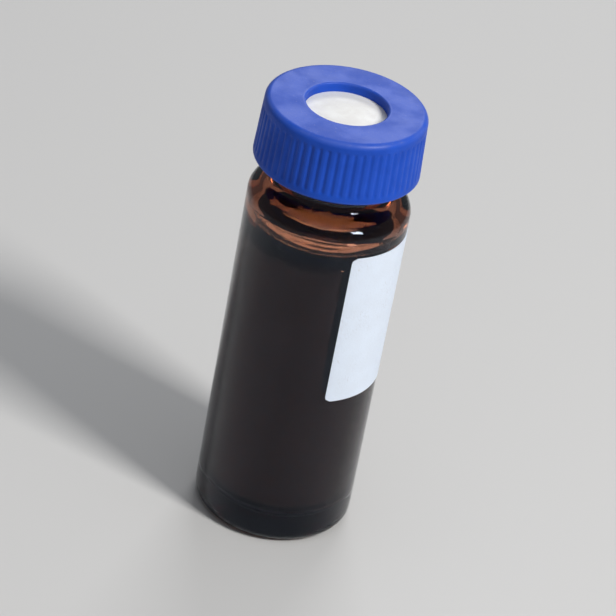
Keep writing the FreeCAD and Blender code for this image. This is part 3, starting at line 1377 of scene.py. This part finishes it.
@dataclass
class Sample:
    """The liquid, with a meniscus that climbs the glass."""

    glass: GlassBody
    level: float = field(default_factory=lambda: node_top("sample_liquid"))
    climb: float = 0.9
    climb_reach: float = 1.1
    sink: float = 0.25
    overlap: float = 0.03
    segments: int = 160
    heel_steps: int = 12
    rings: int = 24
    crowding: float = 1.7
    spacing: float = 2.0

    def build(self) -> bpy.types.Object:
        """Makes the liquid's mesh, a hair wider than the bore, so that no air shows between them.

        Returns:
            The finished piece.
        """
        radius = self.glass.bore_radius + self.overlap
        heel_radius = self.glass.inner_heel + self.overlap
        heel = (radius - heel_radius, self.glass.floor_z - self.overlap + heel_radius)
        surface = []
        for step in range(self.rings + 1):
            from_wall = radius * (step / self.rings) ** self.crowding
            rise = self.climb * math.exp(-from_wall / self.climb_reach) - self.sink
            surface.append((radius - from_wall, self.level + rise))
        surface[-1] = (0.0, surface[-1][1])
        parts = [
            [(0.0, self.glass.floor_z - self.overlap)],
            arc(heel, heel_radius, 270, 360, self.heel_steps),
            surface,
        ]
        return turned("sample", outline(parts, self.spacing), self.segments)

    def dress(self, piece: bpy.types.Object, finishes: Finishes) -> None:
        """Gives the piece its material and its place."""
        hand_over(piece, "sample_liquid", "vial", finishes.sample)


@dataclass
class Print:
    """The white patch and the level marks that are fired onto the barrel."""

    glass: GlassBody
    thickness: float = 0.04
    corner: float = 0.4
    cell: float = 0.2
    mark_height: float = 0.3
    mark_count: int = 6
    long_mark: float = 2.2
    short_mark: float = 1.3
    mark_volume: float = 250.0
    mark_corner_share: float = 0.6

    def start_angle(self, node: str) -> float:
        """Finds where a print starts round the barrel.

        Args:
            node: The printed CAD node.

        Returns:
            The angle, in radians from +X.
        """
        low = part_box(node)[0].y / MM
        reach = self.glass.barrel_radius + (self.thickness if low < 0 else 0.0)
        return math.asin(max(-1.0, low / reach))

    def end_angle(self, node: str) -> float:
        """Where a printed CAD node ends round the barrel, in radians from +X."""
        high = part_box(node)[1].y / MM
        return math.asin(min(1.0, high / (self.glass.barrel_radius + self.thickness)))

    def rounded_sheet(self, name: str, x: Point, z: Point, corner: float) -> bpy.types.Object:
        """A flat sheet with round corners, as quads.

        Args:
            name: The new object's name.
            x: Where it starts and ends along the barrel.
            z: Where it starts and ends in height.
            corner: The corners' radius.

        Returns:
            The sheet, in the XZ plane, facing -Y.
        """
        columns = max(2, round((x[1] - x[0]) / self.cell))
        rows = max(2, round((z[1] - z[0]) / self.cell))
        vertices = []
        for row in range(rows + 1):
            height = z[0] + (z[1] - z[0]) * row / rows
            to_edge = min(height - z[0], z[1] - height)
            short = max(0.0, corner - to_edge)
            inset = corner - math.sqrt(max(0.0, corner**2 - short**2))
            for column in range(columns + 1):
                share = column / columns
                vertices.append((x[0] + inset + (x[1] - x[0] - 2 * inset) * share, 0.0, height))
        faces = []
        for row in range(rows):
            for column in range(columns):
                first = row * (columns + 1) + column
                above = first + columns + 1
                faces.append([first, first + 1, above + 1, above])
        return new_piece(name, vertices, faces)

    def build_patch(self, trees: ShapingTrees, material: bpy.types.Material) -> bpy.types.Object:
        """Makes the patch and lays it round the barrel.

        Args:
            trees: The shaping trees.
            material: The piece's material.

        Returns:
            The finished piece.
        """
        node = "write_on_patch"
        radius = self.glass.barrel_radius
        sheet = self.rounded_sheet(
            "patch",
            (self.start_angle(node) * radius, self.end_angle(node) * radius),
            (node_foot(node), node_top(node)),
            self.corner,
        )
        return trees.print.apply(
            sheet, Barrel_radius=radius * MM, Thickness=self.thickness * MM, Finish=material
        )

    def build_marks(self, trees: ShapingTrees, material: bpy.types.Material) -> bpy.types.Object:
        """Makes one mark and repeats it up the barrel.

        Args:
            trees: The shaping trees.
            material: The piece's material.

        Returns:
            The finished piece.
        """
        radius = self.glass.barrel_radius
        half = self.mark_height / 2
        corner = half * self.mark_corner_share
        sheet = self.rounded_sheet("marks", (0.0, self.long_mark), (-half, half), corner)
        step = self.mark_volume / (math.pi * self.glass.bore_radius**2)
        return trees.marks.apply(
            sheet,
            Barrel_radius=radius * MM,
            Thickness=self.thickness * MM,
            Count=self.mark_count,
            Start_along_barrel=self.start_angle("fill_marks") * radius * MM,
            First_height=(self.glass.floor_z + step) * MM,
            Step=step * MM,
            Short_share=self.short_mark / self.long_mark,
            Finish=material,
        )

    def dress(self, patch: bpy.types.Object, marks: bpy.types.Object, finishes: Finishes) -> None:
        """Gives both prints their material and their place.

        Args:
            patch: The finished patch.
            marks: The finished marks.
            finishes: The materials.
        """
        for piece, node in ((patch, "write_on_patch"), (marks, "fill_marks")):
            keep_edges(piece)
            hand_over(piece, node, "vial", finishes.ink)


@dataclass
class Septum:
    """The two-layer disc under the cap's top, pushed up a little in the hole."""

    hole_radius: float = field(default_factory=lambda: mount_radius("needle_port"))
    bulge: float = 0.16
    seat: float = 0.01
    edge: float = 0.05
    edge_share: float = 0.3
    segments: int = 160
    edge_steps: int = 5
    rings: int = 18
    spacing: float = 0.8

    def layer(self, name: str, node: str, bulge: float, seat: float) -> bpy.types.Object:
        """Makes one layer.

        Args:
            name: The new object's name.
            node: The CAD node whose size it takes.
            bulge: How far its top swells inside the cap's hole.
            seat: The hair of air between its top and the cap.

        Returns:
            The disc.
        """
        low, high, radius = node_foot(node), node_top(node) - seat, node_radius(node)
        edge = min(self.edge, (high - low) * self.edge_share)
        top = []
        for step in range(self.rings + 1):
            place = self.hole_radius * (1 - step / self.rings)
            share = place / self.hole_radius
            top.append((place, high + bulge * (1 - share**2) ** 2))
        parts = [
            [(0.0, low)],
            arc((radius - edge, low + edge), edge, 270, 360, self.edge_steps),
            arc((radius - edge, high - edge), edge, 0, 90, self.edge_steps),
            top,
        ]
        return turned(name, outline(parts, self.spacing), self.segments)

    def build(self) -> tuple[bpy.types.Object, bpy.types.Object]:
        """Makes the soft layer and the hard facing under it."""
        silicone = self.layer("septum_top", "septum_silicone", self.bulge, self.seat)
        return silicone, self.layer("septum_film", "septum_facing", 0.0, 0.0)

    def dress(self, silicone: bpy.types.Object, film: bpy.types.Object, finishes: Finishes) -> None:
        """Gives both layers their materials and their place."""
        hand_over(silicone, "septum_silicone", "septum", finishes.silicone)
        hand_over(film, "septum_facing", "septum", finishes.facing)


@dataclass
class ScrewCap:
    """The cap: ribbed skirt, rounded top edge, open hole, retaining ring and thread."""

    glass: GlassBody
    top: float = field(default_factory=lambda: node_top("screw_cap"))
    mouth: float = field(default_factory=lambda: node_foot("screw_cap"))
    mouth_radius: float = field(default_factory=lambda: node_radius("screw_cap"))
    ceiling: float = field(default_factory=lambda: node_top("septum_silicone"))
    hole_radius: float = field(default_factory=lambda: mount_radius("needle_port"))
    hole_edge: float = 0.15
    top_edge: float = 0.45
    draft: float = 2.5
    mouth_edge: float = 0.12
    mouth_chamfer: float = 0.2
    root_clearance: float = 0.15
    retainer_depth: float = 0.12
    retainer_height: float = 0.3
    rib_count: int = 60
    rib_depth: float = 0.08
    rib_radius: float = 0.22
    rib_top_band: float = 0.75
    rib_bottom_band: float = 0.5
    rib_fade: float = 0.25
    crest_clearance: float = 0.1
    thread_root: float = 0.85
    thread_crest: float = 0.35
    thread_turns: float = 0.72
    thread_start: float = 0.7
    thread_spacing: float = 0.656
    skin: float = 0.02
    # Reaches of the edge mask, which marks rubbed wear and a painted highlight on the edges.
    top_wear_and_highlight: Point = (0.12, 0.34)
    hole_wear_and_highlight: Point = (0.04, 0.20)
    mouth_wear_and_highlight: float = 0.22
    segments: int = 480
    mouth_steps: int = 5
    top_steps: int = 12
    hole_steps: int = 6
    spacing: float = 0.1

    @property
    def bore_radius(self) -> float:
        """The radius of the cap's inside."""
        return self.glass.neck_radius + self.glass.thread_depth + self.root_clearance

    def skirt_radius(self, z: float) -> float:
        """The skirt's outer radius at a height."""
        return self.mouth_radius - (z - self.mouth) * math.tan(math.radians(self.draft))

    def outline_points(self) -> list[Point]:
        """Lays out the cap.

        Returns:
            Its closed outline, anticlockwise from its mouth's outer edge.
        """
        lean = math.radians(self.draft)
        edge_x = self.skirt_radius(self.top) + self.top_edge * (math.tan(lean) - 1 / math.cos(lean))
        low = self.mouth + self.mouth_edge
        bore, depth = self.bore_radius, self.retainer_depth
        rim = self.glass.height
        retainer_low = rim - self.retainer_height
        mouth = (self.skirt_radius(low) - self.mouth_edge, low)
        edge = (edge_x, self.top - self.top_edge)
        hole = (self.hole_radius + self.hole_edge, self.top - self.hole_edge)
        parts = [
            arc(mouth, self.mouth_edge, 270, 360, self.mouth_steps),
            arc(edge, self.top_edge, self.draft, 90, self.top_steps),
            arc(hole, self.hole_edge, 90, 180, self.hole_steps),
            [(self.hole_radius, self.ceiling)],
            [(bore, self.ceiling)],
            [(bore, rim)],
            [(bore - depth, rim - depth)],
            [(bore - depth, retainer_low)],
            [(bore, retainer_low - depth)],
            [(bore, self.mouth + self.mouth_chamfer)],
            [(bore + self.mouth_chamfer, self.mouth)],
        ]
        return outline(parts, self.spacing)

    def ribbed(self, place: Vector) -> float:
        """Finds how deep the grooves are at a place.

        Args:
            place: The place, in millimetres.

        Returns:
            The depth from 0 to 1, and 0 away from the skirt's outside.
        """
        if math.hypot(place.x, place.y) < self.skirt_radius(place.z) - self.skin:
            return 0.0
        low = self.mouth + self.rib_bottom_band
        high = self.top - self.rib_top_band
        into = min(place.z - low, high - place.z) / self.rib_fade
        share = min(1.0, max(0.0, into))
        return math.sqrt(1 - (1 - share) ** 2)

    def threaded(self, place: Vector) -> float:
        """Tells whether the thread may rise from a place.

        Args:
            place: The place, in millimetres.

        Returns:
            1 on the bore below the retaining ring, 0 elsewhere.
        """
        on_wall = abs(math.hypot(place.x, place.y) - self.bore_radius) < NEAR_WALL
        below = place.z < self.glass.height - self.retainer_height - self.retainer_depth
        return 1.0 if on_wall and below and place.z > self.mouth + self.mouth_chamfer else 0.0

    def edge_wear_and_highlight(self, place: Vector) -> float:
        """Finds how exposed a place is to rubbing, which also places a painted highlight on the
        edges.

        Args:
            place: The place, in millimetres.

        Returns:
            1 on the top edge, the hole's edge and the mouth, less round them, 0 far from them.
        """
        radius = math.hypot(place.x, place.y)
        (top_inset, top_reach), (hole_inset, hole_reach) = self.top_wear_and_highlight, self.hole_wear_and_highlight
        centres = (
            (self.skirt_radius(self.top) - top_inset, self.top - top_inset, top_reach),
            (self.hole_radius + hole_inset, self.top - hole_inset, hole_reach),
            (self.mouth_radius, self.mouth, self.mouth_wear_and_highlight),
        )
        worn = [1 - math.dist((radius, place.z), (x, z)) / reach for x, z, reach in centres]
        return max(0.0, *worn)

    def build(self, trees: ShapingTrees, material: bpy.types.Material) -> bpy.types.Object:
        """Makes the cap's mesh, then its thread and its ribs.

        Args:
            trees: The shaping trees.
            material: The piece's material.

        Returns:
            The finished piece.
        """
        piece = turned("cap", self.outline_points(), self.segments)
        paint(piece, "threaded", self.threaded)
        paint(piece, "ribbed", self.ribbed)
        # The edge mask: rubbed wear, and a painted highlight on the cap's edges.
        paint(piece, "edge", self.edge_wear_and_highlight)
        base_z = self.glass.thread_z - self.thread_spacing
        first = (self.mouth + self.thread_start - base_z) / thread_pitch()
        trees.thread.apply(
            piece,
            Pitch=thread_pitch() * MM,
            Height_at_no_turns=base_z * MM,
            First_turn=first,
            Last_turn=first + self.thread_turns,
            Depth=(self.glass.neck_radius + self.crest_clearance - self.bore_radius) * MM,
            Root_width=self.thread_root * MM,
            Crest_width=self.thread_crest * MM,
            Finish=material,
        )
        trees.ribs.apply(
            piece,
            Count=float(self.rib_count),
            Skirt_radius=self.mouth_radius * MM,
            Depth=self.rib_depth * MM,
            Groove_radius=self.rib_radius * MM,
            Finish=material,
        )
        keep_edges(piece)
        return piece

    def dress(self, piece: bpy.types.Object, finishes: Finishes) -> None:
        """Gives the piece its material and its place."""
        hand_over(piece, "screw_cap", "cap", finishes.plastic)


# ---------------------------------------------------------------------------------------------
# The studio
# ---------------------------------------------------------------------------------------------


@dataclass(frozen=True)
class SoftLight:
    """A soft light box that looks at the vial. Its angles are in degrees, its lengths in metres."""

    name: str
    azimuth: float
    elevation: float
    distance: float
    width: float
    height: float
    watts: float
    tone: Colour = (1.0, 1.0, 1.0)

    def build(self, target: Vector) -> None:
        """Makes the light.

        Args:
            target: The point it looks at.
        """
        data = bpy.data.lights.new(self.name, "AREA")
        data.shape = "RECTANGLE"
        data.size = self.width
        data.size_y = self.height
        data.energy = self.watts
        data.color = self.tone
        light = bpy.data.objects.new(self.name, data)
        bpy.context.scene.collection.objects.link(light)
        place_towards(light, target, self.azimuth, self.elevation, self.distance)


def place_towards(
    item: bpy.types.Object, target: Vector, azimuth: float, elevation: float, distance: float
) -> None:
    """Puts a lamp or camera round a point and turns it towards the point.

    Args:
        item: The lamp or camera.
        target: The point.
        azimuth: The side it stands on, in degrees from the front, towards the right.
        elevation: How high it stands, in degrees.
        distance: How far off it stands, in metres.
    """
    turn, lift = math.radians(azimuth), math.radians(elevation)
    away = Vector(
        (math.sin(turn) * math.cos(lift), -math.cos(turn) * math.cos(lift), math.sin(lift))
    )
    item.location = target + away * distance
    item.rotation_euler = away.to_track_quat("Z", "Y").to_euler()


@dataclass
class Studio:
    """Floor, lights, sky and camera.

    The camera's angles are in degrees, its distance and nearest depth in metres. The floor's reach
    is in millimetres, as a piece's lengths are.
    """

    camera_azimuth: float = 0.0
    camera_elevation: float = 32.0
    camera_distance: float = 0.225
    camera_roll: float = 11.0
    camera_nearest: float = 0.01
    focal_length: float = 184.0
    sky: Colour = (0.92, 0.95, 1.0)
    sky_strength: float = 0.22
    floor_reach: float = 900.0
    lights: tuple[SoftLight, ...] = (
        SoftLight("key", 56.0, 45.0, 0.40, 0.075, 0.12, 1.35, (1.0, 0.98, 0.95)),
        SoftLight("overhead", 30.0, 80.0, 0.45, 0.34, 0.34, 0.20),
        SoftLight("back", 176.0, 34.0, 0.45, 0.20, 0.11, 0.66),
    )

    def build(self, finishes: Finishes) -> None:
        """Makes the whole studio.

        Args:
            finishes: The materials.
        """
        low, high = CAD_BOUNDS
        middle = (Vector(low) + Vector(high)) / 2
        reach = self.floor_reach
        corners = [(-reach, -reach, 0), (reach, -reach, 0), (reach, reach, 0), (-reach, reach, 0)]
        floor = new_piece("floor", corners, [[0, 1, 2, 3]])
        floor.location.z = Vector(low).z
        floor.data.materials.append(finishes.floor)
        for light in self.lights:
            light.build(middle)
        self.build_sky()
        self.build_camera(middle)

    def build_sky(self) -> None:
        """Makes a plain pale sky."""
        world = bpy.data.worlds.new("sky")
        world.use_nodes = True
        background = world.node_tree.nodes["Background"]
        background.inputs["Color"].default_value = (*self.sky, 1.0)
        background.inputs["Strength"].default_value = self.sky_strength
        bpy.context.scene.world = world
        bpy.context.scene.view_settings.view_transform = "Standard"

    def build_camera(self, target: Vector) -> None:
        """Makes the camera.

        Args:
            target: The point it looks at.
        """
        data = bpy.data.cameras.new("camera")
        data.lens = self.focal_length
        data.clip_start = self.camera_nearest
        camera = bpy.data.objects.new("camera", data)
        bpy.context.scene.collection.objects.link(camera)
        place_towards(
            camera, target, self.camera_azimuth, self.camera_elevation, self.camera_distance
        )
        camera.rotation_euler.rotate_axis("Z", math.radians(self.camera_roll))
        bpy.context.scene.camera = camera


def main() -> None:
    """Builds the vial's pieces in order, then the studio."""
    logging.basicConfig(level=logging.INFO, format="%(name)s: %(message)s")
    finishes = Finishes.build()
    trees = ShapingTrees()
    glass = GlassBody()
    glass.dress(glass.build(trees, finishes.glass), finishes)
    sample = Sample(glass)
    sample.dress(sample.build(), finishes)
    ink = Print(glass)
    ink.dress(ink.build_patch(trees, finishes.ink), ink.build_marks(trees, finishes.ink), finishes)
    septum = Septum()
    septum.dress(*septum.build(), finishes)
    cap = ScrewCap(glass)
    cap.dress(cap.build(trees, finishes.plastic), finishes)
    Studio().build(finishes)


if __name__ == "__main__":
    main()
